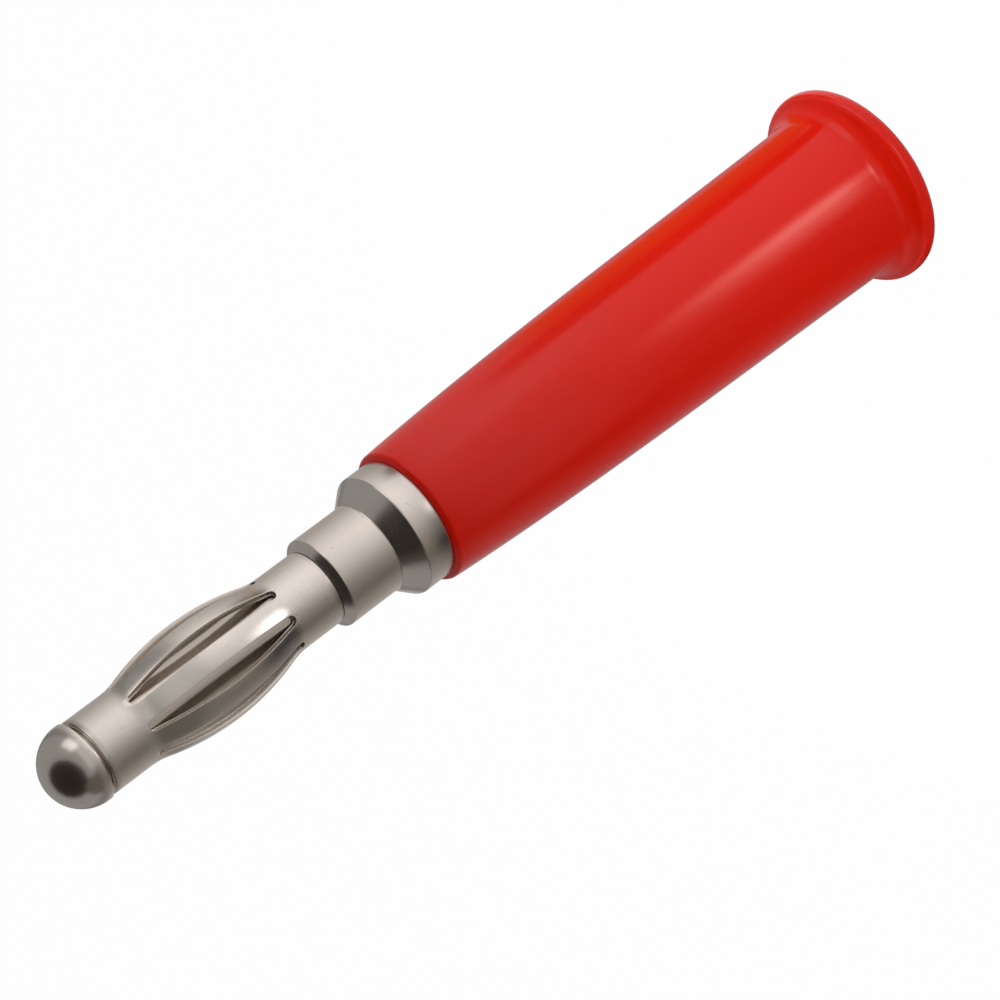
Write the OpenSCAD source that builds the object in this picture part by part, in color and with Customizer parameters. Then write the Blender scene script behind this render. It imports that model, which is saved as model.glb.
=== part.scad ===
// Banana plug for a 4 mm socket: a turned contact body with a lantern spring round its mandrel,
// a grub screw that clamps the wire, and a soft insulating sleeve pushed over the shank.
// The plug stands on the sleeve's rear face with its nose up and its axis on Z. Sizes are in millimetres.

/* [Sleeve] */
// Length of the sleeve, from its rear face to the contact's collar
sleeve_length = 25.8; // [20:0.1:36]
// Outside diameter of the sleeve at its front end
sleeve_front_d = 5.76; // [5.6:0.02:6.4]
// Outside diameter of the sleeve where the flange's fillet begins
sleeve_rear_d = 7.38; // [6.4:0.02:8.2]
// How far the sleeve's side bows out of a straight taper at the middle
sleeve_bow = 0.13; // [0.02:0.01:0.3]
// How much fuller the bow is towards the sleeve's front end than at the middle
sleeve_bow_lean = 0.09; // [0:0.01:0.1]
// Radius of the sleeve's front edge
sleeve_front_round = 0.2; // [0.05:0.01:0.26]

/* [Flange] */
// Diameter of the flange at the sleeve's rear end
flange_d = 8.9; // [8.6:0.05:11]
// Height of the flange's straight rim, up to its front lip
flange_rim = 0.58; // [0.52:0.02:2]
// Radius of the flange's rounded front lip
flange_lip = 0.35; // [0.1:0.01:0.5]
// Radius of the hollow fillet between the sleeve's side and the flange
flange_fillet = 1; // [0.4:0.1:2]
// Radius of the flange's rear edge
flange_rear_round = 0.42; // [0.1:0.02:0.5]

/* [Cable inlet] */
// Diameter of the cable bore behind the shank
cable_bore_d = 4.2; // [3:0.1:4.4]
// Radius of the cable bore's mouth
cable_mouth_round = 0.5; // [0.1:0.1:0.8]
// Free length of the sleeve's seat behind the shank
seat_end_gap = 0.4; // [0.2:0.1:2]
// Clearance on the radius between the sleeve's seat and the shank
seat_clearance = 0.03; // [0.02:0.01:0.08]

/* [Collar and neck] */
// Diameter of the collar that the sleeve stops against
collar_d = 5.28; // [5:0.02:5.5]
// Length of the collar's straight band
collar_length = 1.22; // [0.4:0.02:3]
// Length of the cone from the collar down to the neck
cone_length = 0.83; // [0.3:0.01:2]
// Diameter of the neck
neck_d = 3.86; // [3.6:0.02:4]
// Length of the neck's straight band
neck_length = 2.42; // [1:0.02:5]
// Length of the chamfer from the neck down to the spring
step_chamfer = 0.26; // [0.1:0.01:0.6]

/* [Nose] */
// Diameter of the domed nose
nose_d = 3.32; // [3.1:0.02:3.6]
// Length of the nose's straight band behind the dome
nose_band = 0.13; // [0.1:0.01:1]

/* [Lantern spring] */
// Length of the spring
spring_length = 11.1; // [9:0.1:14]
// Thickness of the spring's sheet
spring_sheet = 0.25; // [0.12:0.01:0.35]
// Outside diameter of the bands at both ends of the spring
spring_band_d = 3.2; // [3:0.02:3.4]
// Outside diameter over the bowed leaves
spring_crown_d = 4.32; // [4.1:0.02:4.6]
// Length of the bowed stretch
spring_bow_length = 7.7; // [6:0.1:8.6]
// Radius of the hollow curve at each end of the bow
spring_bow_fillet = 3; // [1.5:0.1:5]
// Number of leaves
leaf_count = 8; // [6:1:9]
// Length of the slots between the leaves
slot_length = 7.1; // [5:0.1:8]
// Width of a slot at its ends
slot_width = 0.4; // [0.2:0.02:0.5]
// Width of the seam where the rolled sheet's edges face each other
seam_gap = 0.1; // [0.05:0.01:0.18]
// Clearance on the radius between the spring and the mandrel
spring_clearance = 0.04; // [0.02:0.01:0.08]
// Clearance between the spring's rear edge and the step
spring_seat_gap = 0.03; // [0.02:0.01:0.1]
// Clearance between the spring's front edge and the nose
spring_nose_gap = 0.2; // [0.05:0.01:0.3]

/* [Shank] */
// Diameter of the shank inside the sleeve
shank_d = 4.7; // [4.5:0.02:4.8]
// Length of the shank behind the collar
shank_length = 12.4; // [10:0.1:16]
// Chamfer on the shank's rear edge
shank_chamfer = 0.35; // [0.1:0.05:0.6]
// Number of turned grooves that grip the soft sleeve
grip_count = 3; // [1:1:4]
// Width of a grip groove
grip_width = 0.5; // [0.2:0.05:0.7]
// Depth of a grip groove
grip_depth = 0.14; // [0.05:0.01:0.25]
// Distance from one grip groove to the next
grip_pitch = 1; // [0.8:0.05:1.2]
// Distance from the collar to the first grip groove
grip_setback = 1.2; // [0.6:0.1:2]

/* [Wire clamp] */
// Diameter of the wire bore
wire_bore_d = 2; // [1.6:0.1:2.4]
// Depth of the wire bore's straight wall
wire_bore_depth = 7.5; // [6:0.1:9]
// Chamfer at the wire bore's mouth
wire_mouth_chamfer = 0.25; // [0.1:0.05:0.4]
// Point angle of the drill that made the wire bore
drill_point_angle = 118; // [90:1:150]
// Distance from the shank's rear end to the clamp screw's axis
screw_setback = 3.6; // [2.5:0.1:5]
// Diameter of the clamp screw
screw_d = 1.6; // [1.2:0.1:1.8]
// Clearance on the radius between the clamp screw and its hole
screw_clearance = 0.03; // [0.02:0.01:0.06]
// How far the open screw's tip stands back from the wire bore
screw_tip_gap = 0.03; // [0.01:0.01:0.1]
// How far the screw's outer edge lies below the shank's surface
screw_sink = 0.04; // [0.02:0.01:0.2]
// Width of the screwdriver slot
screw_slot_width = 0.3; // [0.2:0.02:0.4]
// Depth of the screwdriver slot
screw_slot_depth = 0.38; // [0.2:0.02:0.5]
// Chamfer on the screw's tip
screw_tip_chamfer = 0.15; // [0.05:0.01:0.3]

/* [Hidden] */
$fn = 192;
RED_PLASTIC = [0.85, 0.2, 0.18];
NICKEL = [0.8, 0.78, 0.75];
BRIGHT_NICKEL = [0.84, 0.82, 0.78];
STEEL = [0.6, 0.61, 0.63];
// Overlap that carries a cut past the face it opens
cut_past = 0.5;

// Sleeve, with heights measured up from its rear face
flange_r = flange_d / 2;
sleeve_front_r = sleeve_front_d / 2;
sleeve_rear_r = sleeve_rear_d / 2;
fillet_centre_r = sleeve_rear_r + flange_fillet;
lip_centre_r = flange_r - flange_lip;
lip_overlap = max(0, fillet_centre_r - lip_centre_r);
arc_crossing = 0.0005;
fillet_z = flange_rim + sqrt((flange_fillet + flange_lip - arc_crossing) ^ 2 - lip_overlap ^ 2);
side_steps = 16;
cable_bore_r = cable_bore_d / 2;
seat_r = shank_d / 2 + seat_clearance;
seat_z = sleeve_length - shank_length - seat_end_gap;

// Contact body, from the shank's rear end to the nose
shank_r = shank_d / 2;
shank_z = sleeve_length - shank_length;
grip_top_z = sleeve_length - grip_setback;
collar_r = collar_d / 2;
cone_z = sleeve_length + collar_length;
neck_r = neck_d / 2;
neck_z = cone_z + cone_length;
step_z = neck_z + neck_length;
seat_face_z = step_z + step_chamfer;
spring_band_r = spring_band_d / 2;
mandrel_r = spring_band_r - spring_sheet - spring_clearance;
spring_z = seat_face_z + spring_seat_gap;
nose_z = spring_z + spring_length + spring_nose_gap;
nose_r = nose_d / 2;
dome_z = nose_z + nose_band;
wire_bore_r = wire_bore_d / 2;
wire_end_z = shank_z + wire_bore_depth;
wire_point_length = wire_bore_r / tan(drill_point_angle / 2);

// Lantern spring: the crown's arc and the fillets' arcs are tangent where they meet
crown_r = spring_crown_d / 2;
bow_rise = crown_r - spring_band_r;
half_bow = spring_bow_length / 2;
arcs_r = (half_bow ^ 2 + bow_rise ^ 2) / (2 * bow_rise);
crown_arc_r = arcs_r - spring_bow_fillet;
slot_reach = (slot_length - slot_width) / 2;
slot_growth = PI * bow_rise / leaf_count;
slot_arc_r = (slot_reach ^ 2 + slot_growth ^ 2) / (2 * slot_growth);
slot_arc_offset = slot_arc_r - slot_growth - slot_width / 2;

// Clamp screw, with distances measured out from the plug's axis
screw_z = shank_z + screw_setback;
screw_r = screw_d / 2;
screw_tip_y = wire_bore_r + screw_tip_gap;
screw_end_y = sqrt((shank_r - screw_sink) ^ 2 - screw_r ^ 2);

// Radius of the sleeve's side at a height above the fillet: a straight taper with a shallow bow
function side_share(z) = (z - fillet_z) / (sleeve_length - fillet_z);
function side_bow(share) = 4 * share * (1 - share) * (sleeve_bow + sleeve_bow_lean * (2 * share - 1));
function side_r(z) =
    sleeve_rear_r + (sleeve_front_r - sleeve_rear_r) * side_share(z) + side_bow(side_share(z));

// Cuts a convex corner at [0, 0], whose sides run towards -X and towards up times Y
module corner_round(r, up) {
    difference() {
        translate([-r, up > 0 ? 0 : -r])
            square(r);
        translate([-r, up * r])
            circle(r);
    }
}

// Flange and its fillet. The lip's arc runs into the fillet's arc, or a wide flange leaves a flat step
// between them. The arcs cross by a hair, so that they meet in one clean edge.
module flange_outline() {
    difference() {
        union() {
            square([flange_r, flange_rim]);
            translate([lip_centre_r, flange_rim])
                intersection() {
                    circle(flange_lip);
                    square(2 * flange_lip);
                }
            polygon([
                [0, flange_rim],
                [fillet_centre_r - lip_overlap, flange_rim],
                [fillet_centre_r, fillet_z],
                [0, fillet_z]
            ]);
            if (lip_overlap == 0)
                square([lip_centre_r, flange_rim + flange_lip]);
        }
        translate([fillet_centre_r, fillet_z])
            circle(flange_fillet);
    }
}

module sleeve_outline() {
    difference() {
        union() {
            flange_outline();
            polygon([
                [0, fillet_z],
                for (i = [0 : side_steps])
                    let (z = fillet_z + (sleeve_length - fillet_z) * i / side_steps) [side_r(z), z],
                [0, sleeve_length]
            ]);
        }
        translate([flange_r, 0])
            corner_round(flange_rear_round, 1);
        translate([side_r(sleeve_length - sleeve_front_round), sleeve_length])
            corner_round(sleeve_front_round, -1);
    }
}

module insulating_sleeve() {
    color(RED_PLASTIC)
        difference() {
            rotate_extrude()
                difference() {
                    sleeve_outline();
                    translate([cable_bore_r, 0])
                        mirror([1, 0])
                            corner_round(cable_mouth_round, 1);
                    square([cable_bore_r, sleeve_length]);
                }
            translate([0, 0, seat_z])
                cylinder(r = seat_r, h = sleeve_length - seat_z + cut_past);
        }
}

module contact_outline() {
    polygon([
        [0, shank_z],
        [shank_r - shank_chamfer, shank_z],
        [shank_r, shank_z + shank_chamfer],
        [shank_r, sleeve_length],
        [collar_r, sleeve_length],
        [collar_r, cone_z],
        [neck_r, neck_z],
        [neck_r, step_z],
        [spring_band_r, seat_face_z],
        [mandrel_r, seat_face_z],
        [mandrel_r, nose_z],
        [nose_r, nose_z],
        [nose_r, dome_z],
        [0, dome_z]
    ]);
    intersection() {
        translate([0, dome_z])
            circle(nose_r);
        translate([0, dome_z])
            square(nose_r);
    }
}

module contact_body() {
    color(NICKEL)
        difference() {
            rotate_extrude()
                difference() {
                    contact_outline();
                    for (i = [0 : grip_count - 1])
                        translate([shank_r - grip_depth, grip_top_z - grip_width - i * grip_pitch])
                            square([shank_r, grip_width]);
                }
            translate([0, 0, shank_z - cut_past])
                cylinder(r = wire_bore_r, h = wire_bore_depth + cut_past);
            translate([0, 0, wire_end_z])
                cylinder(r1 = wire_bore_r, r2 = 0, h = wire_point_length);
            translate([0, 0, shank_z])
                cylinder(r1 = wire_bore_r + wire_mouth_chamfer, r2 = wire_bore_r, h = wire_mouth_chamfer);
            translate([0, 0, screw_z])
                rotate([90, 0, 0])
                    cylinder(r = screw_r + screw_clearance, h = shank_r + cut_past);
        }
}

// Area inside the spring's outer face, moved in by inset, over the spring's length from 0 up
module spring_outline(inset) {
    arc_r = crown_arc_r - inset;
    arc_reach = half_bow * arc_r / arcs_r;
    square([spring_band_r - inset, spring_length]);
    translate([0, spring_length / 2]) {
        intersection() {
            translate([crown_r - crown_arc_r, 0])
                circle(arc_r);
            translate([0, -arc_reach])
                square([crown_r, 2 * arc_reach]);
        }
        for (end = [0, 1])
            mirror([0, end])
                difference() {
                    translate([0, arc_reach])
                        square([crown_r, half_bow - arc_reach]);
                    translate([spring_band_r + spring_bow_fillet, half_bow])
                        circle(spring_bow_fillet + inset);
                }
    }
}

// Slot between two leaves, which widens where the leaves bow apart
module slot_outline() {
    intersection() {
        intersection_for (side = [-1, 1])
            translate([side * slot_arc_offset, 0])
                circle(slot_arc_r);
        square([slot_width + 2 * slot_growth, 2 * slot_reach], center = true);
    }
    for (end = [-1, 1])
        translate([0, end * slot_reach])
            circle(d = slot_width);
}

module lantern_spring() {
    color(BRIGHT_NICKEL)
        translate([0, 0, spring_z])
            difference() {
                rotate_extrude()
                    difference() {
                        spring_outline(0);
                        spring_outline(spring_sheet);
                    }
                for (i = [0 : leaf_count - 1])
                    rotate([0, 0, i * 360 / leaf_count - 90])
                        translate([0, 0, spring_length / 2])
                            rotate([90, 0, 90])
                                linear_extrude(crown_r + cut_past)
                                    slot_outline();
                rotate([0, 0, 90])
                    translate([0, -seam_gap / 2, -cut_past])
                        cube([crown_r + cut_past, seam_gap, spring_length + 2 * cut_past]);
            }
}

module clamp_screw() {
    color(STEEL)
        translate([0, 0, screw_z])
            rotate([90, 0, 0])
                difference() {
                    union() {
                        translate([0, 0, screw_tip_y])
                            cylinder(r1 = screw_r - screw_tip_chamfer, r2 = screw_r, h = screw_tip_chamfer);
                        translate([0, 0, screw_tip_y + screw_tip_chamfer])
                            cylinder(r = screw_r, h = screw_end_y - screw_tip_y - screw_tip_chamfer);
                    }
                    translate([-screw_d, -screw_slot_width / 2, screw_end_y - screw_slot_depth])
                        cube([2 * screw_d, screw_slot_width, screw_slot_depth + cut_past]);
                }
}

insulating_sleeve();
contact_body();
lantern_spring();
clamp_screw();
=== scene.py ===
"""Finish and studio for a banana plug: a turned contact, a slotted lantern spring and a moulded sleeve."""
import math

import bmesh
import bpy
from bpy.props import FloatProperty, FloatVectorProperty, IntProperty, PointerProperty
from mathutils import Matrix, Vector


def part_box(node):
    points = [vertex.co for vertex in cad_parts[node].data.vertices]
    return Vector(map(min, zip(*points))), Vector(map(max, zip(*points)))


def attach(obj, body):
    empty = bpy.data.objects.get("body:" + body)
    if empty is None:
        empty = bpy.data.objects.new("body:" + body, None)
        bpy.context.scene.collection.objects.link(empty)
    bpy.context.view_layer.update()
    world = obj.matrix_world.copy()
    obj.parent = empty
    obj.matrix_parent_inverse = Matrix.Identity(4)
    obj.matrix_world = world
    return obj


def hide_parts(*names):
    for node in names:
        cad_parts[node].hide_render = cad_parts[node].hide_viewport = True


bl_info = {
    "name": "Banana Plug",
    "version": (1, 0, 0),
    "blender": (4, 5, 0),
    "location": "View3D > Sidebar > Plug",
    "description": "Builds a lantern-spring banana plug with its finishes and its studio",
    "category": "Object",
}

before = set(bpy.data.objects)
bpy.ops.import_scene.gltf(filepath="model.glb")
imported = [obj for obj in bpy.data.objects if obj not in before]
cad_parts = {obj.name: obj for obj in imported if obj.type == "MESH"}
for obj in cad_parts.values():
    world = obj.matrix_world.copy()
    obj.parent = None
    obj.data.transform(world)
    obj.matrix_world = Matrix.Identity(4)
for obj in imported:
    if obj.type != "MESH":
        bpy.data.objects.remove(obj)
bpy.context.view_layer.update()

MM = 0.001
# Points closer than this become one
MERGE = 0.0005 * MM
# Steps round a turned piece, and the angle past which an edge stays sharp
TURNING_STEPS = 192
SHARP_ANGLE = math.radians(35)
# Smoothing weight of broad faces against narrow ones, where 50 is even
FACE_WEIGHT = 80

# Segments of rounded corners, from a broken edge to the nose's dome
FINE_STEPS = 2
EDGE_STEPS = 3
FRONT_STEPS = 5
ROUND_STEPS = 8
FILLET_STEPS = 12
DOME_STEPS = 32

# Turns Z to -Y, the way the clamp screw lies
TO_MINUS_Y = Matrix.Rotation(math.pi / 2, 3, "X")

SLEEVE_LOW, SLEEVE_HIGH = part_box("insulating_sleeve")
CONTACT_LOW, CONTACT_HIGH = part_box("contact_body")
SPRING_LOW, SPRING_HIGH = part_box("lantern_spring")
SCREW_LOW, SCREW_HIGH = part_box("clamp_screw")


def length(name, description, default):
    """A size in metres that the sidebar shows as a length."""
    return FloatProperty(
        name=name, description=description, default=default, min=0.0, precision=5, unit="LENGTH",
    )


def colour(name, description, default):
    """A linear colour that the sidebar shows as a swatch."""
    return FloatVectorProperty(
        name=name, description=description, default=default, size=3, subtype="COLOR", min=0.0, max=1.0,
    )


def degrees(name, description, default):
    """A turn that is given, and that the sidebar shows, in degrees."""
    return FloatProperty(name=name, description=description, default=math.radians(default), subtype="ANGLE")


class SleeveSizes(bpy.types.PropertyGroup):
    length: length("Length", "From the rear face to the collar", SLEEVE_HIGH.z - SLEEVE_LOW.z)
    flange_d: length("Flange diameter", "Across the rear rim", SLEEVE_HIGH.x - SLEEVE_LOW.x)
    front_d: length("Front diameter", "Outside diameter at the front end", 5.76 * MM)
    rear_d: length("Rear diameter", "Outside diameter where the flange's fillet begins", 7.38 * MM)
    bow: length("Bow", "How far the side bows out of a straight taper", 0.13 * MM)
    bow_lean: length("Bow lean", "How much fuller the bow is towards the front", 0.09 * MM)
    flange_rim: length("Rim", "Height of the flange's straight rim", 0.58 * MM)
    flange_lip: length("Lip", "Radius of the flange's rounded front lip", 0.35 * MM)
    flange_fillet: length("Fillet", "Radius of the hollow in front of the flange", 1.0 * MM)
    flange_round: length("Rear edge", "Radius of the flange's rear edge", 0.42 * MM)
    front_round: length("Front edge", "Radius of the front edge", 0.2 * MM)
    seat_d: length("Seat diameter", "Bore that grips the shank", 4.76 * MM)
    seat_depth: length("Seat depth", "Depth of the seat from the front end", 12.8 * MM)
    cable_d: length("Cable bore", "Bore that the cable enters by", 4.2 * MM)
    cable_round: length("Mouth radius", "Radius of the cable bore's mouth", 0.5 * MM)
    bore_edge: length("Bore edge", "Radius of the broken edges inside the bores", 0.06 * MM)


class ContactSizes(bpy.types.PropertyGroup):
    collar_d: length("Collar diameter", "Across the collar", CONTACT_HIGH.x - CONTACT_LOW.x)
    collar_length: length("Collar length", "Length of the collar's straight band", 1.22 * MM)
    cone_length: length("Cone length", "From the collar down to the neck", 0.83 * MM)
    neck_d: length("Neck diameter", "Across the neck", 3.86 * MM)
    neck_length: length("Neck length", "Length of the neck's straight band", 2.42 * MM)
    step_chamfer: length("Step chamfer", "From the neck down to the spring", 0.26 * MM)
    mandrel_d: length("Mandrel diameter", "Pin under the spring", 2.62 * MM)
    nose_d: length("Nose diameter", "Across the domed nose", 3.32 * MM)
    nose_gap: length("Nose gap", "Between the spring and the nose", 0.2 * MM)
    shank_d: length("Shank diameter", "Pin inside the sleeve", 4.7 * MM)
    shank_chamfer: length("Shank chamfer", "On the shank's rear edge", 0.35 * MM)
    grip_depth: length("Grip depth", "Depth of the grip grooves", 0.14 * MM)
    grip_width: length("Grip width", "Width of a grip groove", 0.5 * MM)
    grip_pitch: length("Grip pitch", "From one grip groove to the next", 1.0 * MM)
    grip_setback: length("Grip setback", "From the collar to the first groove", 1.2 * MM)
    grip_count: IntProperty(name="Grip grooves", description="Number of grip grooves", default=3, min=1)
    wire_d: length("Wire bore", "Bore for the stripped wire", 2.0 * MM)
    wire_depth: length("Wire depth", "Depth of the wire bore's straight wall", 7.5 * MM)
    wire_chamfer: length("Wire chamfer", "At the wire bore's mouth", 0.25 * MM)
    screw_clearance: length("Screw clearance", "Round the clamp screw", 0.03 * MM)
    edge_round: length("Edge radius", "Broken edge left by turning", 0.05 * MM)


class SpringSizes(bpy.types.PropertyGroup):
    sheet: length("Sheet", "Thickness of the sheet", 0.25 * MM)
    band_d: length("Band diameter", "Outside diameter of the end bands", 3.2 * MM)
    crown_d: length("Crown diameter", "Outside diameter over the bowed leaves", 4.32 * MM)
    bow_length: length("Bow length", "Length of the bowed stretch", 7.7 * MM)
    bow_fillet: length("Bow fillet", "Radius of the hollow at each end of the bow", 3.0 * MM)
    slot_length: length("Slot length", "Length of a slot", 7.1 * MM)
    slot_width: length("Slot width", "Width of a slot at its ends", 0.4 * MM)
    seam_gap: length("Seam gap", "Between the rolled sheet's edges", 0.1 * MM)
    edge_round: length("Edge radius", "Rolled edge of the stamped sheet", 0.035 * MM)
    leaves: IntProperty(name="Leaves", description="Number of leaves", default=8, min=3)


class ScrewSizes(bpy.types.PropertyGroup):
    diameter: length("Diameter", "Over the thread", SCREW_HIGH.x - SCREW_LOW.x)
    pitch: length("Pitch", "From thread to thread", 0.35 * MM)
    thread_depth: length("Thread depth", "From crest to root", 0.17 * MM)
    slot_width: length("Slot width", "Width of the driver slot", 0.3 * MM)
    slot_depth: length("Slot depth", "Depth of the driver slot", 0.38 * MM)


class PlugFinishes(bpy.types.PropertyGroup):
    red: colour("Red plastic", "Moulded sleeve", (0.73, 0.0095, 0.0013))
    nickel: colour("Nickel plate", "Turned contact body", (0.71, 0.645, 0.585))
    spring: colour("Spring plate", "Rolled spring sheet", (0.73, 0.67, 0.61))
    steel: colour("Screw steel", "Clamp screw", (0.46, 0.46, 0.47))


class PlugStage(bpy.types.PropertyGroup):
    turn: degrees("Turn", "Camera's turn about the plug", 17.5)
    tilt: degrees("Tilt", "Nose's lean towards the camera", 26)
    lie: degrees("Lie", "Slope of the plug across the picture", 37.28)
    distance: length("Distance", "From the camera to the collar's plane", 130 * MM)
    offset_right: length("Offset right", "Collar's plane left of the picture's middle", 3.56 * MM)
    offset_up: length("Offset up", "Collar's plane below the picture's middle", 0.725 * MM)
    lens: FloatProperty(
        name="Lens", description="Focal length in millimetres", default=122.15, min=1.0, unit="CAMERA",
    )
    floor_radius: length("Floor radius", "Radius of the pale floor", 2.0)


GROUPS = {
    "plug_sleeve": SleeveSizes,
    "plug_contact": ContactSizes,
    "plug_spring": SpringSizes,
    "plug_screw": ScrewSizes,
    "plug_finishes": PlugFinishes,
    "plug_stage": PlugStage,
}


class Field:
    """A shader socket that takes part in Python expressions."""

    def __init__(self, tree, socket):
        self.tree = tree
        self.socket = socket

    def node(self, kind, settings=None, inputs=None, output=0):
        """Adds a node of any kind to this socket's tree."""
        return add_node(self.tree, kind, settings, inputs, output)

    def math(self, operation, *operands):
        """Adds a Math node with its operands in order."""
        return self.node("ShaderNodeMath", {"operation": operation}, dict(enumerate(operands)))

    def __add__(self, other):
        return self.math("ADD", self, other)

    def __radd__(self, other):
        return self.math("ADD", other, self)

    def __sub__(self, other):
        return self.math("SUBTRACT", self, other)

    def __rsub__(self, other):
        return self.math("SUBTRACT", other, self)

    def __mul__(self, other):
        return self.math("MULTIPLY", self, other)

    def __rmul__(self, other):
        return self.math("MULTIPLY", other, self)


def feed(tree, socket, value):
    """Links a field to a socket, or sets the socket's own value."""
    if isinstance(value, Field):
        tree.links.new(value.socket, socket)
    elif socket.type == "RGBA":
        socket.default_value = (*value, 1.0)
    else:
        socket.default_value = value


def add_node(tree, kind, settings=None, inputs=None, output=0):
    """Adds one node: settings first, then its sockets' values or links. Wraps one of its outputs."""
    node = tree.nodes.new(kind)
    for key, value in (settings or {}).items():
        if key == "stops":
            ramp = node.color_ramp
            while len(ramp.elements) < len(value):
                ramp.elements.new(1.0)
            for element, (position, level) in zip(ramp.elements, value):
                element.position = position
                element.color = (level, level, level, 1.0)
        else:
            setattr(node, key, value)
    for key, value in (inputs or {}).items():
        feed(tree, node.inputs[key], value)
    return Field(tree, node.outputs[output])


def empty_tree(owner):
    """The node tree of a material or a world, with nothing in it."""
    owner.use_nodes = True
    owner.node_tree.nodes.clear()
    return owner.node_tree


def end_tree(tree, kind, surface):
    """Ends a tree with its output node."""
    node = tree.nodes.new(kind)
    tree.links.new(surface.socket, node.inputs["Surface"])


def blend(factor, first, second):
    """Mixes two colours by a factor."""
    inputs = {"Factor": factor, "A": first, "B": second}
    return factor.node("ShaderNodeMix", {"data_type": "RGBA"}, inputs, "Result")


def between(value, low, high, start=0.0, end=1.0):
    """Goes from start to end as a value goes from low to high, and stays there past both."""
    spread = {"Value": value, "From Min": low, "From Max": high, "To Min": start, "To Max": end}
    return value.node("ShaderNodeMapRange", None, spread)


def vector_math(operation, first, *others, output=0):
    """Vector maths on a field and other fields or vectors, in order."""
    inputs = dict(enumerate((first, *others)))
    return first.node("ShaderNodeVectorMath", {"operation": operation}, inputs, output)


def tinted(rgb, amount):
    """A tint at the brightness that a field gives."""
    return amount.node("ShaderNodeVectorMath", {"operation": "SCALE"}, {0: rgb, "Scale": amount})


class Finish:
    """A material with a Principled shader and its piece's Object coordinates."""

    def __init__(self, name):
        self.material = bpy.data.materials.new(name)
        self.material.use_nodes = True
        self.tree = self.material.node_tree
        self.shader = self.tree.nodes["Principled BSDF"]
        self.place = add_node(self.tree, "ShaderNodeTexCoord", output="Object")

    def set(self, **values):
        """Sets shader sockets by name, with underscores for spaces."""
        for key, value in values.items():
            feed(self.tree, self.shader.inputs[key.replace("_", " ")], value)

    def noise(self, scale, detail=2.0, stretch=(1.0, 1.0, 1.0)):
        """Noise of a given number of waves to the metre, stretched along the piece's axes."""
        moved = self.place.node("ShaderNodeMapping", None, {"Vector": self.place, "Scale": stretch})
        inputs = {"Vector": moved, "Scale": scale, "Detail": detail}
        return moved.node("ShaderNodeTexNoise", None, inputs, "Fac")

    def ramp(self, field, *stops):
        """Levels a field by (position, level) stops."""
        return field.node("ShaderNodeValToRGB", {"stops": stops}, {"Fac": field})

    def bump(self, height, distance, strength):
        """A fine relief, for the shader's normal."""
        inputs = {"Height": height, "Distance": distance, "Strength": strength}
        return height.node("ShaderNodeBump", None, inputs)


def shade(rgb, amount):
    """A darker or lighter version of a colour."""
    return tuple(min(1.0, channel * amount) for channel in rgb)


def mottle(factor, rgb, dark, light):
    """A colour that wanders between a darker and a lighter shade of itself."""
    return blend(factor, shade(rgb, dark), shade(rgb, light))


def red_plastic(finishes):
    """Glossy moulded plastic with a faint flow pattern and a fine moulded skin."""
    finish = Finish("red_plastic")
    red = tuple(finishes.red)
    flow = finish.noise(260.0, detail=3.0, stretch=(1.0, 1.0, 0.35))
    skin = finish.noise(5200.0)
    peel = finish.noise(1500.0)
    finish.set(Base_Color=mottle(flow, red, dark=0.93, light=1.06))
    finish.set(Roughness=0.13 + 0.06 * flow, IOR=1.345)
    finish.set(Normal=finish.bump(peel + 0.35 * skin, distance=0.0016 * MM, strength=0.8))
    return finish.material


def turned_nickel(finishes):
    """Bright nickel over turned brass: fine tool rings, soft patches and a few specks."""
    finish = Finish("turned_nickel")
    nickel = tuple(finishes.nickel)
    rings = finish.noise(9000.0, stretch=(0.02, 0.02, 1.0))
    patches = finish.noise(900.0, detail=3.0)
    grain = finish.noise(14000.0)
    specks = finish.ramp(finish.noise(5200.0, detail=1.0), (0.70, 0.0), (0.78, 1.0))
    tone = mottle(patches, nickel, dark=0.94, light=1.05)
    finish.set(Base_Color=blend(0.35 * specks, tone, shade(nickel, 0.6)), Metallic=1.0)
    finish.set(Roughness=0.17 + 0.10 * patches + 0.05 * grain)
    finish.set(Normal=finish.bump(0.7 * rings + 0.3 * grain, distance=0.0012 * MM, strength=0.6))
    return finish.material


def spring_nickel(finishes):
    """Nickel over rolled sheet: lengthwise grain, burnished patches and small nicks."""
    finish = Finish("spring_nickel")
    nickel = tuple(finishes.spring)
    grain = finish.noise(8000.0, stretch=(1.0, 1.0, 0.05))
    patches = finish.noise(1300.0, detail=3.0, stretch=(1.0, 1.0, 0.5))
    dots = finish.noise(4200.0, detail=1.5, stretch=(1.0, 1.0, 0.45))
    nicks = finish.ramp(dots, (0.68, 0.0), (0.76, 1.0))
    tone = mottle(patches, nickel, dark=0.93, light=1.06)
    finish.set(Base_Color=blend(0.3 * nicks, tone, shade(nickel, 0.65)), Metallic=1.0)
    finish.set(Roughness=0.18 + 0.12 * patches + 0.05 * grain)
    finish.set(Normal=finish.bump(grain, distance=0.0005 * MM, strength=0.5))
    return finish.material


def screw_steel(finishes):
    """Plain steel with a darker oiled tint in patches."""
    finish = Finish("screw_steel")
    steel = tuple(finishes.steel)
    patches = finish.noise(2600.0, detail=3.0)
    grain = finish.noise(12000.0)
    finish.set(Base_Color=mottle(patches, steel, dark=0.8, light=1.1), Metallic=1.0)
    finish.set(Roughness=0.26 + 0.14 * patches)
    finish.set(Normal=finish.bump(grain, distance=0.0012 * MM, strength=0.6))
    return finish.material


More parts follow.
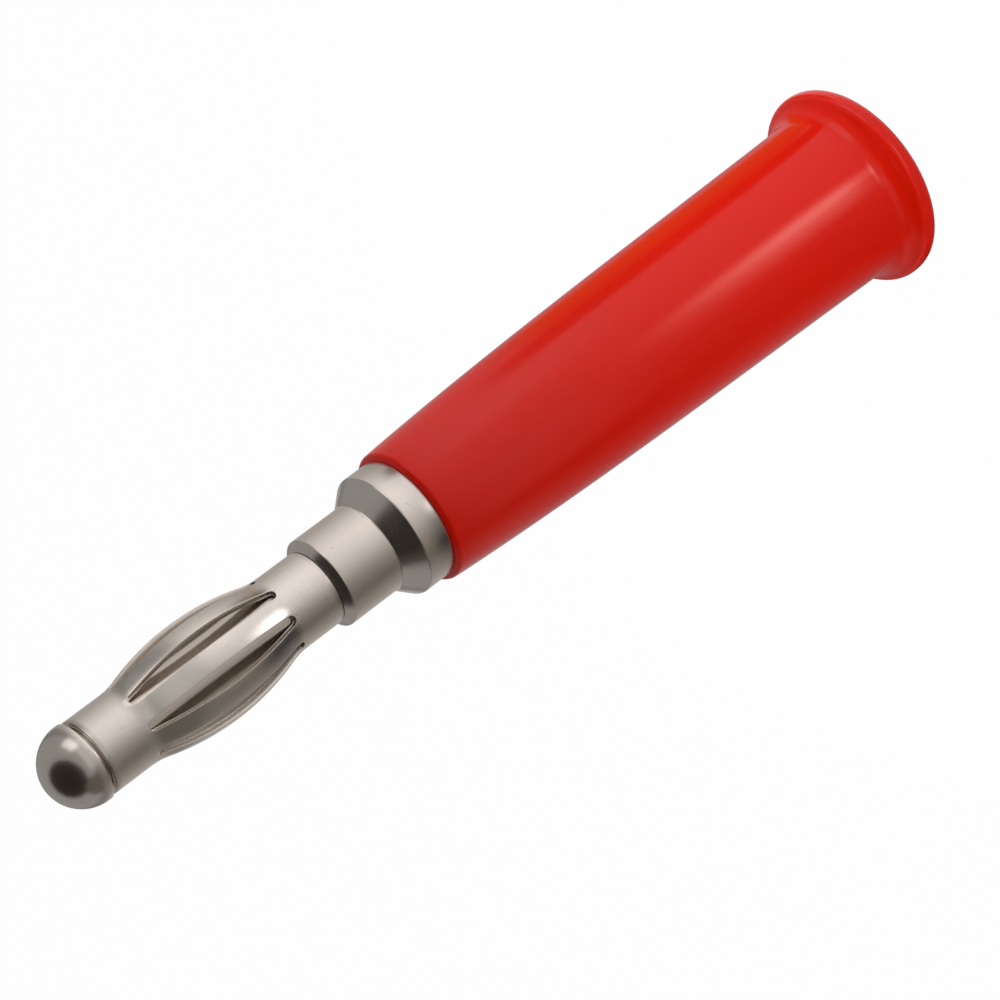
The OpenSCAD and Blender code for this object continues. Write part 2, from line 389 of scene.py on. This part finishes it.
def outline_face(mesh, corners):
    """A closed outline in the XZ plane from (radius, height, rounding) corners, with its corners rounded."""
    corner_verts = [mesh.verts.new((radius, 0.0, height)) for radius, height, rounding in corners]
    mesh.faces.new(corner_verts)
    by_rounding = {}
    for vert, (radius, height, rounding) in zip(corner_verts, corners):
        if rounding:
            by_rounding.setdefault(rounding, []).append(vert)
    for (offset, segments), verts in by_rounding.items():
        bmesh.ops.bevel(
            mesh, geom=verts, offset=offset, offset_type="OFFSET", segments=segments, profile=0.5,
            affect="VERTICES", clamp_overlap=False, material=-1,
        )


def on_axis(edge):
    """Whether an edge of an outline lies on the turning axis."""
    return all(abs(vert.co.x) < MERGE for vert in edge.verts)


def turn_outline(mesh):
    """Spins the outline's edges round Z into a closed surface that faces outwards."""
    bmesh.ops.delete(mesh, geom=list(mesh.faces), context="FACES_ONLY")
    bmesh.ops.remove_doubles(mesh, verts=list(mesh.verts), dist=MERGE)
    bmesh.ops.delete(mesh, geom=[edge for edge in mesh.edges if on_axis(edge)], context="EDGES")
    bmesh.ops.spin(
        mesh, geom=list(mesh.verts) + list(mesh.edges), cent=(0, 0, 0), axis=(0, 0, 1),
        angle=math.tau, steps=TURNING_STEPS, use_merge=True,
    )
    bmesh.ops.remove_doubles(mesh, verts=list(mesh.verts), dist=MERGE)
    bmesh.ops.recalc_face_normals(mesh, faces=list(mesh.faces))


def smooth(data):
    """Shades a mesh smooth apart from its sharp edges."""
    data.shade_smooth()
    data.set_sharp_from_angle(angle=SHARP_ANGLE)


def mesh_object(name, mesh):
    """Makes a smooth object at the origin from a bmesh."""
    data = bpy.data.meshes.new(name)
    mesh.to_mesh(data)
    mesh.free()
    smooth(data)
    piece = bpy.data.objects.new(name, data)
    bpy.context.scene.collection.objects.link(piece)
    return piece


def cut(piece, cutter):
    """Cuts one closed object out of another and drops the cutter."""
    step = piece.modifiers.new("cut", "BOOLEAN")
    step.operation = "DIFFERENCE"
    step.solver = "EXACT"
    step.object = cutter
    graph = bpy.context.evaluated_depsgraph_get()
    data = bpy.data.meshes.new_from_object(piece.evaluated_get(graph))
    piece.modifiers.clear()
    piece.data = data
    bpy.data.objects.remove(cutter)
    smooth(data)


def even_normals(piece):
    """Keeps broad faces flat beside their narrow rounded edges."""
    step = piece.modifiers.new("even_normals", "WEIGHTED_NORMAL")
    step.keep_sharp = True
    step.weight = FACE_WEIGHT


def dress(piece, material, body, node):
    """Gives a piece its material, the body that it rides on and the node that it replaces."""
    piece.data.materials.clear()
    piece.data.materials.append(material)
    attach(piece, body)
    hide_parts(node)


class MakeSleeve(bpy.types.Operator):
    """Makes the moulded sleeve with its bowed side, flared rim and stepped bore"""

    bl_idname = "plug.make_sleeve"
    bl_label = "Insulating Sleeve"

    BOW_CUTS = 40

    def outline(self, sizes):
        """Corners of half the sleeve's section, from the cable bore's mouth over the outside and back."""
        flange_r = sizes.flange_d / 2
        rear_r = sizes.rear_d / 2
        cable_r = sizes.cable_d / 2
        seat_r = sizes.seat_d / 2
        seat_z = sizes.length - sizes.seat_depth
        arcs_r = sizes.flange_fillet + sizes.flange_lip
        bend = math.acos(max(0.0, rear_r + arcs_r - flange_r) / arcs_r)
        lip_run = sizes.flange_lip * math.tan(bend / 2)
        fillet_run = sizes.flange_fillet * math.tan(bend / 2)
        fillet_z = sizes.flange_rim + arcs_r * math.sin(bend)
        self.side_z = fillet_z
        return [
            (cable_r, 0.0, (sizes.cable_round, ROUND_STEPS)),
            (flange_r, 0.0, (sizes.flange_round, ROUND_STEPS)),
            (flange_r, sizes.flange_rim + lip_run, (lip_run, ROUND_STEPS)),
            (rear_r, fillet_z - fillet_run, (fillet_run, FILLET_STEPS)),
            (sizes.front_d / 2, sizes.length, (sizes.front_round, FRONT_STEPS)),
            (seat_r, sizes.length, (sizes.bore_edge, EDGE_STEPS)),
            (seat_r, seat_z, None),
            (cable_r, seat_z, (sizes.bore_edge, EDGE_STEPS)),
        ]

    def bow_side(self, mesh, sizes):
        """Bows the outline's longest edge, which is the sleeve's side, out of a straight taper."""
        longest = max(mesh.edges, key=lambda edge: edge.calc_length())
        made = bmesh.ops.subdivide_edges(mesh, edges=[longest], cuts=self.BOW_CUTS)
        for vert in made["geom_inner"]:
            if isinstance(vert, bmesh.types.BMVert):
                share = (vert.co.z - self.side_z) / (sizes.length - self.side_z)
                fullness = sizes.bow + sizes.bow_lean * (2 * share - 1)
                vert.co.x += 4 * share * (1 - share) * fullness

    def execute(self, context):
        sizes = context.scene.plug_sleeve
        mesh = bmesh.new()
        outline_face(mesh, self.outline(sizes))
        self.bow_side(mesh, sizes)
        turn_outline(mesh)
        piece = mesh_object("sleeve", mesh)
        dress(piece, red_plastic(context.scene.plug_finishes), "sleeve", "insulating_sleeve")
        return {"FINISHED"}


class MakeContact(bpy.types.Operator):
    """Makes the turned contact body from its drilled shank to its domed nose"""

    bl_idname = "plug.make_contact"
    bl_label = "Contact Body"

    DRILL_HALF_ANGLE = math.radians(59)
    HOLE_SEGMENTS = 64
    # Share of the nose's radius that its dome takes, which ends just short of the axis
    DOME_SHARE = 0.9999

    def grooves(self, sizes, collar_z, edge):
        """Corners of the grip grooves, from the rearmost to the one next to the collar."""
        shank_r = sizes.shank_d / 2
        floor_r = shank_r - sizes.grip_depth
        for groove in reversed(range(sizes.grip_count)):
            top = collar_z - sizes.grip_setback - groove * sizes.grip_pitch
            low = top - sizes.grip_width
            yield (shank_r, low, edge)
            yield (floor_r, low, None)
            yield (floor_r, top, None)
            yield (shank_r, top, edge)

    def outline(self, sizes, spring):
        """Corners of half the contact's section, from the wire bore's end over the outside to the nose."""
        edge = (sizes.edge_round, EDGE_STEPS)
        fine_edge = (sizes.edge_round / 2, FINE_STEPS)
        shank_z = CONTACT_LOW.z
        collar_z = SLEEVE_HIGH.z
        cone_z = collar_z + sizes.collar_length
        neck_z = cone_z + sizes.cone_length
        step_z = neck_z + sizes.neck_length
        seat_z = step_z + sizes.step_chamfer
        nose_z = SPRING_HIGH.z + sizes.nose_gap
        wire_r = sizes.wire_d / 2
        wire_z = shank_z + sizes.wire_depth
        shank_r = sizes.shank_d / 2
        nose_r = sizes.nose_d / 2
        return [
            (0.0, wire_z + wire_r / math.tan(self.DRILL_HALF_ANGLE), None),
            (wire_r, wire_z, None),
            (wire_r, shank_z + sizes.wire_chamfer, None),
            (wire_r + sizes.wire_chamfer, shank_z, None),
            (shank_r - sizes.shank_chamfer, shank_z, fine_edge),
            (shank_r, shank_z + sizes.shank_chamfer, edge),
            *self.grooves(sizes, collar_z, fine_edge),
            (shank_r, collar_z, None),
            (sizes.collar_d / 2, collar_z, edge),
            (sizes.collar_d / 2, cone_z, edge),
            (sizes.neck_d / 2, neck_z, edge),
            (sizes.neck_d / 2, step_z, edge),
            (spring.band_d / 2, seat_z, fine_edge),
            (sizes.mandrel_d / 2, seat_z, None),
            (sizes.mandrel_d / 2, nose_z, None),
            (nose_r, nose_z, edge),
            (nose_r, CONTACT_HIGH.z, (nose_r * self.DOME_SHARE, DOME_STEPS)),
            (0.0, CONTACT_HIGH.z, None),
        ]

    def screw_hole(self, sizes, screw):
        """A bar along -Y that opens the shank's wall where the clamp screw sits."""
        bar = bmesh.new()
        reach = sizes.shank_d
        radius = screw.diameter / 2 + sizes.screw_clearance
        bmesh.ops.create_cone(
            bar, cap_ends=True, segments=self.HOLE_SEGMENTS, radius1=radius, radius2=radius, depth=reach,
        )
        bmesh.ops.rotate(bar, verts=list(bar.verts), cent=(0, 0, 0), matrix=TO_MINUS_Y)
        height = (SCREW_LOW.z + SCREW_HIGH.z) / 2
        bmesh.ops.translate(bar, verts=list(bar.verts), vec=(0, -reach / 2, height))
        return mesh_object("screw_hole_bar", bar)

    def execute(self, context):
        scene = context.scene
        mesh = bmesh.new()
        outline_face(mesh, self.outline(scene.plug_contact, scene.plug_spring))
        turn_outline(mesh)
        piece = mesh_object("contact", mesh)
        cut(piece, self.screw_hole(scene.plug_contact, scene.plug_screw))
        even_normals(piece)
        dress(piece, turned_nickel(scene.plug_finishes), "contact", "contact_body")
        return {"FINISHED"}


class MakeSpring(bpy.types.Operator):
    """Makes the lantern spring from one leaf's cell of sheet, turned round the axis and thickened"""

    bl_idname = "plug.make_spring"
    bl_label = "Lantern Spring"

    COLUMNS = 12
    BAND_ROWS = 8
    END_ROWS = 8
    LEAF_ROWS = 56
    # Edges sharper than this are the sheet's cut edges
    CUT_ANGLE = math.radians(60)

    def shape(self, sizes):
        """Works out the arcs of the bow and of the slots from the spring's sizes."""
        self.half_length = (SPRING_HIGH.z - SPRING_LOW.z) / 2
        self.middle = (SPRING_HIGH.z + SPRING_LOW.z) / 2
        self.band_r = sizes.band_d / 2
        self.crown_r = sizes.crown_d / 2
        rise = self.crown_r - self.band_r
        self.half_bow = sizes.bow_length / 2
        self.fillet = sizes.bow_fillet
        arcs_r = (self.half_bow ** 2 + rise ** 2) / (2 * rise)
        self.crown_arc = arcs_r - self.fillet
        self.arc_reach = self.half_bow * self.crown_arc / arcs_r
        self.slot_end_r = sizes.slot_width / 2
        self.slot_reach = sizes.slot_length / 2 - self.slot_end_r
        self.slot_growth = math.pi * rise / sizes.leaves
        self.slot_arc = (self.slot_reach ** 2 + self.slot_growth ** 2) / (2 * self.slot_growth)
        self.pitch = math.tau / sizes.leaves

    def radius(self, z):
        """Outer radius at a height from the spring's middle."""
        z = abs(z)
        if z <= self.arc_reach:
            return self.crown_r - self.crown_arc + math.sqrt(self.crown_arc ** 2 - z ** 2)
        if z <= self.half_bow:
            return self.band_r + self.fillet - math.sqrt(self.fillet ** 2 - (self.half_bow - z) ** 2)
        return self.band_r

    def rows(self):
        """Heights from the spring's middle and the slot's half width there, from rear to front."""
        slot_end = self.slot_reach + self.slot_end_r
        band_run = self.half_length - slot_end
        rear = []
        for row in range(self.BAND_ROWS, 0, -1):
            rear.append((-slot_end - band_run * row / self.BAND_ROWS, 0.0))
        for row in range(self.END_ROWS, 0, -1):
            turn = math.pi / 2 * row / self.END_ROWS
            z = -self.slot_reach - self.slot_end_r * math.sin(turn)
            rear.append((z, self.slot_end_r * math.cos(turn)))
        leaf = []
        for row in range(self.LEAF_ROWS + 1):
            z = self.slot_reach * (2 * row / self.LEAF_ROWS - 1)
            bulge = math.sqrt(self.slot_arc ** 2 - z ** 2) - self.slot_arc + self.slot_growth
            leaf.append((z, self.slot_end_r + bulge))
        front = [(-z, half_width) for z, half_width in reversed(rear)]
        return rear + leaf + front

    def leaf_cell(self, mesh):
        """A grid bent into one leaf with its share of both bands, between two slots' middles."""
        rows = self.rows()
        last = len(rows) - 1
        bmesh.ops.create_grid(mesh, x_segments=self.COLUMNS, y_segments=last, size=0.5)
        for vert in mesh.verts:
            z, slot_half = rows[round((vert.co.y + 0.5) * last)]
            radius = self.radius(z)
            half_angle = self.pitch / 2 - math.asin(max(0.0, slot_half) / radius)
            angle = self.pitch / 2 + 2 * vert.co.x * half_angle
            vert.co = (radius * math.cos(angle), radius * math.sin(angle), self.middle + z)

    def open_seam(self, mesh, gap):
        """Parts the sheet's two edges at the slot that faces +Y."""
        for vert in mesh.verts:
            if abs(vert.co.x) < MERGE and vert.co.y > 0:
                side = sum(face.calc_center_median().x for face in vert.link_faces)
                vert.co.x += math.copysign(gap / 2, side)

    def execute(self, context):
        sizes = context.scene.plug_spring
        self.shape(sizes)
        mesh = bmesh.new()
        self.leaf_cell(mesh)
        bmesh.ops.spin(
            mesh, geom=mesh.verts[:] + mesh.edges[:] + mesh.faces[:], cent=(0, 0, 0), axis=(0, 0, 1),
            angle=math.tau - self.pitch, steps=sizes.leaves - 1, use_duplicate=True,
        )
        self.open_seam(mesh, sizes.seam_gap)
        bmesh.ops.remove_doubles(mesh, verts=list(mesh.verts), dist=MERGE)
        bmesh.ops.recalc_face_normals(mesh, faces=list(mesh.faces))
        if sum(face.normal.x * face.calc_center_median().x for face in mesh.faces) < 0:
            bmesh.ops.reverse_faces(mesh, faces=list(mesh.faces))
        bmesh.ops.solidify(mesh, geom=list(mesh.faces), thickness=sizes.sheet)
        rim = [
            edge for edge in mesh.edges
            if len(edge.link_faces) == 2 and edge.calc_face_angle() > self.CUT_ANGLE
        ]
        bmesh.ops.bevel(
            mesh, geom=rim, offset=sizes.edge_round, offset_type="OFFSET", segments=EDGE_STEPS, profile=0.5,
            affect="EDGES", clamp_overlap=True, material=-1,
        )
        piece = mesh_object("spring", mesh)
        even_normals(piece)
        dress(piece, spring_nickel(context.scene.plug_finishes), "spring", "lantern_spring")
        return {"FINISHED"}


class MakeScrew(bpy.types.Operator):
    """Makes the threaded clamp screw with its driver slot"""

    bl_idname = "plug.make_screw"
    bl_label = "Clamp Screw"

    STEPS_PER_TURN = 48
    # Width of the thread's crest as a share of its pitch
    CREST_SHARE = 1 / 8
    # Turns of thread before the tip and past the outer end, which are trimmed off to a tolerance
    RUN_IN = 2
    RUN_OUT = 1
    TRIM_TOLERANCE = MERGE / 10

    def thread(self, mesh, sizes, reach):
        """One pitch of thread profile, screwed along Z past both ends and trimmed there."""
        crest_r = sizes.diameter / 2
        root_r = crest_r - sizes.thread_depth
        flat = sizes.pitch * self.CREST_SHARE
        profile = [
            (root_r, 0.0),
            (crest_r, (sizes.pitch - flat) / 2),
            (crest_r, (sizes.pitch + flat) / 2),
            (root_r, sizes.pitch),
        ]
        start = -self.RUN_IN * sizes.pitch
        verts = [mesh.verts.new((radius, 0.0, start + height)) for radius, height in profile]
        edges = [mesh.edges.new(pair) for pair in zip(verts, verts[1:])]
        turns = math.ceil(reach / sizes.pitch) + self.RUN_IN + self.RUN_OUT
        lift = (0, 0, sizes.pitch / self.STEPS_PER_TURN)
        bmesh.ops.spin(
            mesh, geom=verts + edges, cent=(0, 0, 0), axis=(0, 0, 1), dvec=lift,
            angle=math.tau * turns, steps=turns * self.STEPS_PER_TURN,
        )
        bmesh.ops.remove_doubles(mesh, verts=list(mesh.verts), dist=MERGE)
        for height, normal in ((0.0, -1.0), (reach, 1.0)):
            bmesh.ops.bisect_plane(
                mesh, geom=mesh.verts[:] + mesh.edges[:] + mesh.faces[:], dist=self.TRIM_TOLERANCE,
                plane_co=(0, 0, height), plane_no=(0, 0, normal), clear_outer=True,
            )
        bmesh.ops.holes_fill(mesh, edges=[edge for edge in mesh.edges if edge.is_boundary], sides=0)
        bmesh.ops.recalc_face_normals(mesh, faces=list(mesh.faces))

    def driver_slot(self, sizes, reach):
        """A bar across the screw's outer end."""
        bar = bmesh.new()
        bmesh.ops.create_cube(bar, size=1.0)
        size = (2 * sizes.diameter, sizes.slot_width, 2 * sizes.slot_depth)
        bmesh.ops.scale(bar, verts=list(bar.verts), vec=size)
        bmesh.ops.translate(bar, verts=list(bar.verts), vec=(0, 0, reach))
        return bar

    def seat(self, mesh):
        """Turns a mesh made up along Z to lie along -Y, with its tip at the wire bore."""
        bmesh.ops.rotate(mesh, verts=list(mesh.verts), cent=(0, 0, 0), matrix=TO_MINUS_Y)
        height = (SCREW_LOW.z + SCREW_HIGH.z) / 2
        bmesh.ops.translate(mesh, verts=list(mesh.verts), vec=(0, SCREW_HIGH.y, height))

    def execute(self, context):
        sizes = context.scene.plug_screw
        reach = SCREW_HIGH.y - SCREW_LOW.y
        mesh = bmesh.new()
        self.thread(mesh, sizes, reach)
        self.seat(mesh)
        piece = mesh_object("screw", mesh)
        bar = self.driver_slot(sizes, reach)
        self.seat(bar)
        cut(piece, mesh_object("driver_slot_bar", bar))
        dress(piece, screw_steel(context.scene.plug_finishes), "screw", "clamp_screw")
        return {"FINISHED"}


class SetStage(bpy.types.Operator):
    """Sets up the camera, the pale floor and the soft studio light"""

    bl_idname = "plug.set_stage"
    bl_label = "Stage"

    # The camera's sensor in millimetres, and its near and far limits in metres
    SENSOR_WIDTH = 36.0
    CLIP_START = 5 * MM
    CLIP_END = 10.0
    DISC_SEGMENTS = 128
    # The floor's drop below the plug, and the mirrored card's lift above the plug's rear face
    FLOOR_DROP = 0.02 * MM
    CARD_LIFT = 0.2 * MM
    # Radius of the sleeve's side, where the lines that it mirrors start
    SIDE_R = 3.4 * MM
    # Brightness of the painted highlight that the sleeve mirrors, and how fast it fades with its reach
    PAINTED_HIGHLIGHT_LEVEL = 6.4
    PAINTED_HIGHLIGHT_FADE = 1.6
    # Linear colours of the background, the room, the floor, the glowing card's painted reflections and its
    # two painted lines
    WHITE = (1.0, 1.0, 1.0)
    ROOM_TINT = (1.0, 0.98, 0.95)
    FLOOR_GREY = (0.8, 0.8, 0.8)
    DIM_TINT = (1.0, 0.9, 0.75)
    BRIGHT_TINT = (1.0, 0.985, 1.02)
    PAINTED_HIGHLIGHT_TINT = (1.0, 0.94, 0.83)
    PAINTED_WARM_REFLECTION = (0.37, 0.21, 0.05)
    PAINTED_DARK_REFLECTION = (0.03, 0.02, 0.01)
    # Azimuths in degrees from the camera and powers in watts of the low lamps round the sleeve
    LOW_LAMPS = {
        "key_low": (70, 0.0053),
        "front_low": (20, 0.0014),
        "fill_low": (-40, 0.0047),
        "back_key": (130, 0.0029),
        "back_fill": (-125, 0.0029),
    }

    def axes(self, stage):
        """The picture's right and up and the way to the camera, in the plug's frame."""
        turn = Matrix.Rotation(stage.turn, 3, "Z")
        side = turn @ Vector((1, 0, 0))
        toward = turn @ Vector((0, -math.cos(stage.tilt), math.sin(stage.tilt)))
        nose = turn @ Vector((0, math.sin(stage.tilt), math.cos(stage.tilt)))
        right = -math.sin(stage.lie) * side - math.cos(stage.lie) * nose
        up = math.cos(stage.lie) * side - math.sin(stage.lie) * nose
        return right, up, toward

    def camera(self, stage):
        """A camera that sees the plug lie across the picture with its nose at the lower left."""
        right, up, toward = self.axes(stage)
        place = Vector((0, 0, SLEEVE_HIGH.z)) + stage.offset_right * right + stage.offset_up * up
        place += stage.distance * toward
        data = bpy.data.cameras.new("camera")
        data.lens = stage.lens
        data.sensor_width = self.SENSOR_WIDTH
        data.clip_start = self.CLIP_START
        data.clip_end = self.CLIP_END
        camera = bpy.data.objects.new("camera", data)
        camera.matrix_world = Matrix.Translation(place) @ Matrix((right, up, toward)).transposed().to_4x4()
        bpy.context.scene.collection.objects.link(camera)
        bpy.context.scene.camera = camera

    def side(self, azimuth):
        """Level directions at an azimuth in degrees from the camera: away from the axis, and round it."""
        angle = bpy.context.scene.plug_stage.turn + math.radians(azimuth)
        return Vector((math.sin(angle), -math.cos(angle), 0)), Vector((math.cos(angle), math.sin(angle), 0))

    def facing(self, azimuth, place, aim):
        """A frame at a (reach, height) place beside the axis, its Z turned away from another such place."""
        away, around = self.side(azimuth)
        start = place[0] * away + Vector((0, 0, place[1]))
        back = (start - aim[0] * away - Vector((0, 0, aim[1]))).normalized()
        return Matrix.Translation(start) @ Matrix((around, back.cross(around), back)).transposed().to_4x4()

    def lamp(self, name, azimuth, place, aim, size, energy, lit, mirrored, spread=math.pi):
        """An area lamp unseen by the camera: lit ones light the surfaces, mirrored ones show in them."""
        data = bpy.data.lights.new(name, "AREA")
        data.shape = "RECTANGLE"
        data.size, data.size_y = size
        data.energy = energy
        data.spread = spread
        lamp = bpy.data.objects.new(name, data)
        lamp.matrix_world = self.facing(azimuth, place, aim)
        lamp.visible_camera = False
        lamp.visible_glossy = mirrored
        lamp.visible_diffuse = lit
        bpy.context.scene.collection.objects.link(lamp)

    def lamps(self):
        """Lamps that only light the plug, low and high, then those that show in it."""
        for name, (azimuth, watts) in self.LOW_LAMPS.items():
            self.lamp(
                name, azimuth, place=(35 * MM, 7 * MM), aim=(0, 7 * MM), size=(40 * MM, 12 * MM),
                energy=watts, lit=True, mirrored=False,
            )
        self.lamp(
            "key_high", 45, place=(80 * MM, 120 * MM), aim=(80 * MM, 0), size=(80 * MM, 80 * MM),
            energy=0.015, lit=True, mirrored=False,
        )
        self.lamp(
            "top", 0, place=(0.1 * MM, 200 * MM), aim=(0, 0), size=(100 * MM, 100 * MM),
            energy=0.08, lit=True, mirrored=False,
        )
        self.lamp(
            "horizon", 15, place=(170 * MM, 33 * MM), aim=(0, 33 * MM), size=(300 * MM, 70 * MM),
            energy=0.02, lit=False, mirrored=True,
        )
        self.lamp(
            "glint", -6, place=(13.6 * MM, 19.8 * MM), aim=(2 * MM, 33.6 * MM), size=(11 * MM, 14 * MM),
            energy=2.6e-5, lit=False, mirrored=True, spread=math.radians(26),
        )
        self.lamp(
            "window", 58, place=(340 * MM, 75 * MM), aim=(0, 22 * MM), size=(220 * MM, 140 * MM),
            energy=0.076, lit=True, mirrored=True,
        )

    def disc(self, name, radius, matrix, material):
        """A flat round object of the stage, with a material."""
        mesh = bmesh.new()
        bmesh.ops.create_circle(mesh, cap_ends=True, segments=self.DISC_SEGMENTS, radius=radius)
        bmesh.ops.transform(mesh, matrix=matrix, verts=list(mesh.verts))
        disc = mesh_object(name, mesh)
        disc.data.materials.append(material)
        return disc

    def card(self, name, radius, matrix):
        """A round card that is only seen mirrored in the plug. Gives its empty material tree."""
        material = bpy.data.materials.new(name)
        card = self.disc(name, radius, matrix, material)
        card.visible_camera = False
        card.visible_diffuse = False
        card.visible_shadow = False
        card.visible_transmission = False
        return empty_tree(material)

    def plain_card(self, name, radius, matrix, tint, strength):
        """A card of one even brightness."""
        tree = self.card(name, radius, matrix)
        light = add_node(tree, "ShaderNodeEmission", None, {"Color": tint, "Strength": strength})
        end_tree(tree, "ShaderNodeOutputMaterial", light)

    def flags(self):
        """Dim glowing cards of painted dark reflection: one above the camera for the cone and the nose, one
        on the fill side.
        """
        above = self.facing(-40, place=(93 * MM, 320 * MM), aim=(0, 35 * MM))
        self.plain_card("painted_dark_above", 333 * MM, above, tint=(1.0, 0.85, 0.7), strength=0.027)
        beside = self.facing(-70, place=(260 * MM, 60 * MM), aim=(0, 60 * MM))
        self.plain_card("painted_dark_fill", 150 * MM, beside, tint=(1.0, 0.9, 0.8), strength=0.13)

    def painted_reflection_card(self):
        """Glowing floor card of painted reflections: bright on the key side and behind, with lines for the
        sleeve to mirror.
        """
        tree = self.card("painted_reflection_card", 160 * MM, Matrix.Translation((0, 0, SLEEVE_LOW.z + self.CARD_LIFT)))
        place = add_node(tree, "ShaderNodeTexCoord", output="Object")
        level = vector_math("MULTIPLY", place, (1, 1, 0))
        reach = vector_math("LENGTH", level, output="Value")

        def along(azimuth, foot=0.0):
            """Cosine between an azimuth and the way here from a foot out on the side that mirrors it."""
            away = self.side(azimuth)[0]
            start = foot * self.side(azimuth / 2)[0]
            unit = vector_math("NORMALIZE", vector_math("SUBTRACT", level, start))
            return vector_math("DOT_PRODUCT", unit, away, output="Value")

        def lobe(azimuth, sharpness=3, foot=0.0):
            """A soft patch round an azimuth."""
            half = 0.5 + 0.5 * along(azimuth, foot)
            return half.math("POWER", half, sharpness)

        def line(azimuth, full, none):
            """A line out from the sleeve's side: full near an azimuth, none past some degrees off it."""
            low = math.cos(math.radians(none))
            high = math.cos(math.radians(full))
            return between(along(azimuth, self.SIDE_R), low, high)

        # Painted reflections: a dim floor that brightens outwards, painted shade on the fill side, and
        # glowing lobes standing in for key and back light
        horizon = between(reach, 44 * MM, 60 * MM, start=0.03, end=0.19)
        painted_fill_shade = 0.06 * lobe(-74, sharpness=80)
        dim = tinted(self.DIM_TINT, horizon - painted_fill_shade)
        painted_key_glow = 0.95 * lobe(45)
        painted_back_glow = 0.35 * lobe(190)
        bright = tinted(self.BRIGHT_TINT, painted_key_glow + painted_back_glow)

        # Painted highlight: a narrow bright band in front of the sleeve, standing in for a low lamp near the
        # floor
        rise = between(reach, 5.5 * MM, 8.7 * MM)
        fall = between(reach, 14 * MM, 36 * MM, start=1.0, end=0.0)
        crest = lobe(-1, sharpness=170, foot=self.SIDE_R)
        tail = 0.35 * lobe(-13, sharpness=100, foot=self.SIDE_R)
        fade = fall.math("POWER", fall, self.PAINTED_HIGHLIGHT_FADE)
        painted_highlight = tinted(self.PAINTED_HIGHLIGHT_TINT, self.PAINTED_HIGHLIGHT_LEVEL * rise * fade * (crest + tail))
        glow = vector_math("ADD", vector_math("ADD", dim, bright), painted_highlight)

        past_rim = between(reach, 5.1 * MM, 5.5 * MM)
        painted_warm_reach = past_rim * between(reach, 36 * MM, 43 * MM, start=1.0, end=0.0)
        painted_dark_reach = past_rim * between(reach, 44 * MM, 52 * MM, start=1.0, end=0.0)
        # Painted reflection of warm bounce light, seen on the sleeve's key-side edge
        with_painted_warmth = blend(painted_warm_reach * line(118, full=19, none=24), glow, self.PAINTED_WARM_REFLECTION)
        # Painted dark line, mirrored by the sleeve near its key-side edge
        with_painted_dark_line = blend(painted_dark_reach * line(90.5, full=8.5, none=15.6), with_painted_warmth, self.PAINTED_DARK_REFLECTION)
        light = add_node(tree, "ShaderNodeEmission", None, {"Color": with_painted_dark_line})
        end_tree(tree, "ShaderNodeOutputMaterial", light)

    def whitened(self, tree, kind, plain, to_camera, mirrored):
        """Ends a tree with a shader that whitens by one share to the camera and another mirrored."""
        ray = add_node(tree, "ShaderNodeLightPath", output="Is Camera Ray")
        glossy = Field(tree, ray.socket.node.outputs["Is Glossy Ray"])
        through = Field(tree, ray.socket.node.outputs["Is Transmission Ray"])
        source = "ShaderNodeBackground" if kind == "ShaderNodeOutputWorld" else "ShaderNodeEmission"
        white = add_node(tree, source, None, {"Color": self.WHITE, "Strength": 1.0})
        share = to_camera * ray + mirrored * (glossy + through)
        mixed = add_node(tree, "ShaderNodeMixShader", None, {0: share, 1: plain, 2: white})
        end_tree(tree, kind, mixed)

    def floor(self, stage):
        """A pale floor that is nearly white to the camera and keeps a trace of the plug's shadow."""
        material = bpy.data.materials.new("pale_floor")
        tree = empty_tree(material)
        plain = add_node(tree, "ShaderNodeBsdfDiffuse", None, {"Color": self.FLOOR_GREY})
        self.whitened(tree, "ShaderNodeOutputMaterial", plain, to_camera=0.985, mirrored=0.12)
        level = Matrix.Translation((0, 0, SLEEVE_LOW.z - self.FLOOR_DROP))
        self.disc("floor", stage.floor_radius, level, material)

    def world(self):
        """A dim room that is white to the camera."""
        world = bpy.data.worlds.new("studio")
        bpy.context.scene.world = world
        tree = empty_tree(world)
        room = add_node(tree, "ShaderNodeBackground", None, {"Color": self.ROOM_TINT, "Strength": 0.12})
        self.whitened(tree, "ShaderNodeOutputWorld", room, to_camera=1.0, mirrored=0.25)

    def execute(self, context):
        stage = context.scene.plug_stage
        context.scene.view_settings.view_transform = "Standard"
        self.camera(stage)
        self.floor(stage)
        self.world()
        self.painted_reflection_card()
        self.flags()
        self.lamps()
        return {"FINISHED"}


class PlugPanel(bpy.types.Panel):
    """Lists the plug's pieces and its stage"""

    bl_idname = "VIEW3D_PT_banana_plug"
    bl_label = "Banana Plug"
    bl_space_type = "VIEW_3D"
    bl_region_type = "UI"
    bl_category = "Plug"

    def draw(self, context):
        for operator in OPERATORS:
            self.layout.operator(operator.bl_idname)
        for name, group in GROUPS.items():
            box = self.layout.box()
            for key in group.__annotations__:
                box.prop(getattr(context.scene, name), key)


OPERATORS = (MakeSleeve, MakeContact, MakeSpring, MakeScrew, SetStage)
CLASSES = (*GROUPS.values(), *OPERATORS, PlugPanel)


def register():
    for cls in CLASSES:
        bpy.utils.register_class(cls)
    for name, group in GROUPS.items():
        setattr(bpy.types.Scene, name, PointerProperty(type=group))


def unregister():
    for name in GROUPS:
        delattr(bpy.types.Scene, name)
    for cls in reversed(CLASSES):
        bpy.utils.unregister_class(cls)


def main():
    register()
    bpy.ops.plug.make_sleeve()
    bpy.ops.plug.make_contact()
    bpy.ops.plug.make_spring()
    bpy.ops.plug.make_screw()
    bpy.ops.plug.set_stage()


if __name__ == "__main__":
    main()
